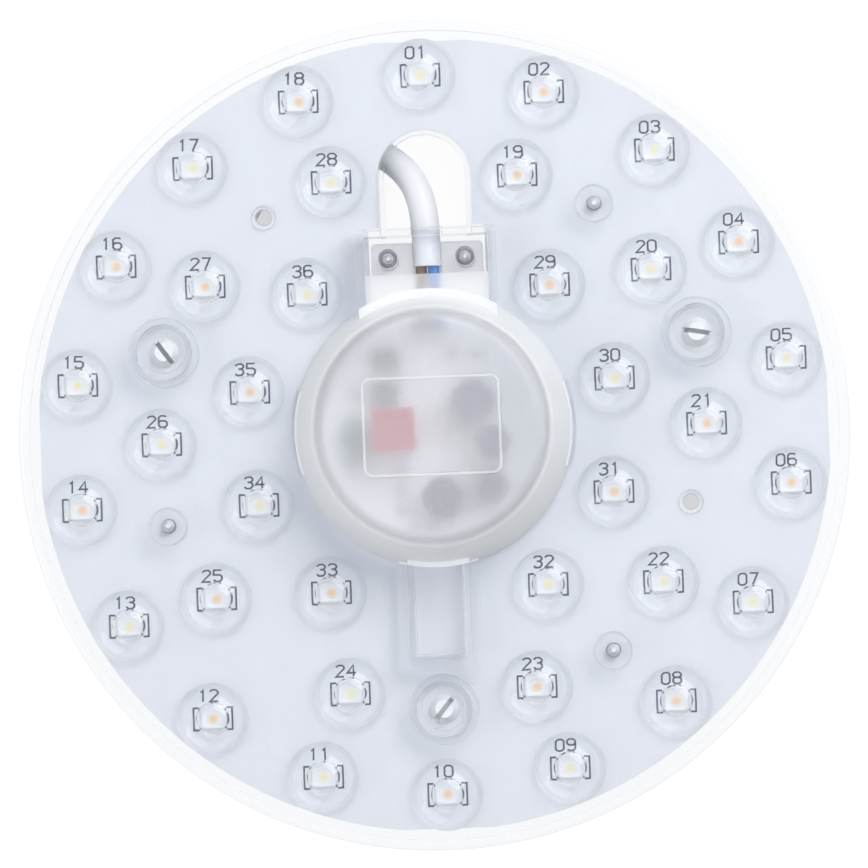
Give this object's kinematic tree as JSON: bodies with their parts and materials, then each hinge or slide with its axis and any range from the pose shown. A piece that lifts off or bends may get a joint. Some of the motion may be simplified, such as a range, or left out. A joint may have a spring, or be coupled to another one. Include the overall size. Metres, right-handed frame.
{
  "type": "magnetic led ceiling module",
  "caption": "Round clear-covered LED light panel with dome lenses, a frosted driver dome in the middle, magnet feet behind and a short supply cord through a slot.",
  "frame": {"origin": "middle of the magnets' plane, under the middle of the round panel", "axes": "+Z from the magnets to the lenses; +Y to the cable slot"},
  "size_m": [0.154, 0.154, 0.0267],
  "materials": {
    "clear_plastic": "clear moulded plastic",
    "board_white": "white solder mask",
    "led_cool": "pale yellow phosphor",
    "led_warm": "orange yellow phosphor",
    "film": "thin insulating sheet",
    "driver_board": "white solder mask",
    "red_plastic": "red dipped case",
    "can_sleeve": "shrink sleeve",
    "ferrite": "dark ferrite and lacquered wire",
    "black_plastic": "moulded black epoxy",
    "resistor": "lacquered",
    "tinned_metal": "tin plated",
    "foot_white": "moulded white nylon",
    "magnet_nickel": "nickel plated",
    "zinc_steel": "zinc plated",
    "clamp_plastic": "milky moulded plastic",
    "sheath_white": "white PVC",
    "core_brown": "brown PVC",
    "core_blue": "blue PVC"
  },
  "bodies": {
    "root": {"lens_plate": "clear_plastic", "led_board": "board_white", "leds_cool": "led_cool", "leds_warm": "led_warm", "insulating_film": "film", "driver_board": "driver_board", "link_pins": "tinned_metal", "film_capacitor": "red_plastic", "bulk_capacitor": "can_sleeve", "output_capacitor": "can_sleeve", "driver_choke": "ferrite", "filter_choke": "ferrite", "bridge_rectifier": "black_plastic", "driver_chip": "black_plastic", "fuse_resistor": "resistor", "chip_resistors": "black_plastic", "magnet_foot_1": "foot_white", "magnet_foot_2": "foot_white", "magnet_foot_3": "foot_white", "magnet_1": "magnet_nickel", "magnet_2": "magnet_nickel", "magnet_3": "magnet_nickel", "board_screws": "zinc_steel", "cord_clamp": "clamp_plastic", "clamp_screws": "zinc_steel", "cord_sheath": "sheath_white", "core_brown": "core_brown", "core_blue": "core_blue", "core_brown_end": "core_brown", "core_blue_end": "core_blue", "solder_joints": "tinned_metal", "tinned_ends": "tinned_metal"}
  },
  "joints": []
}
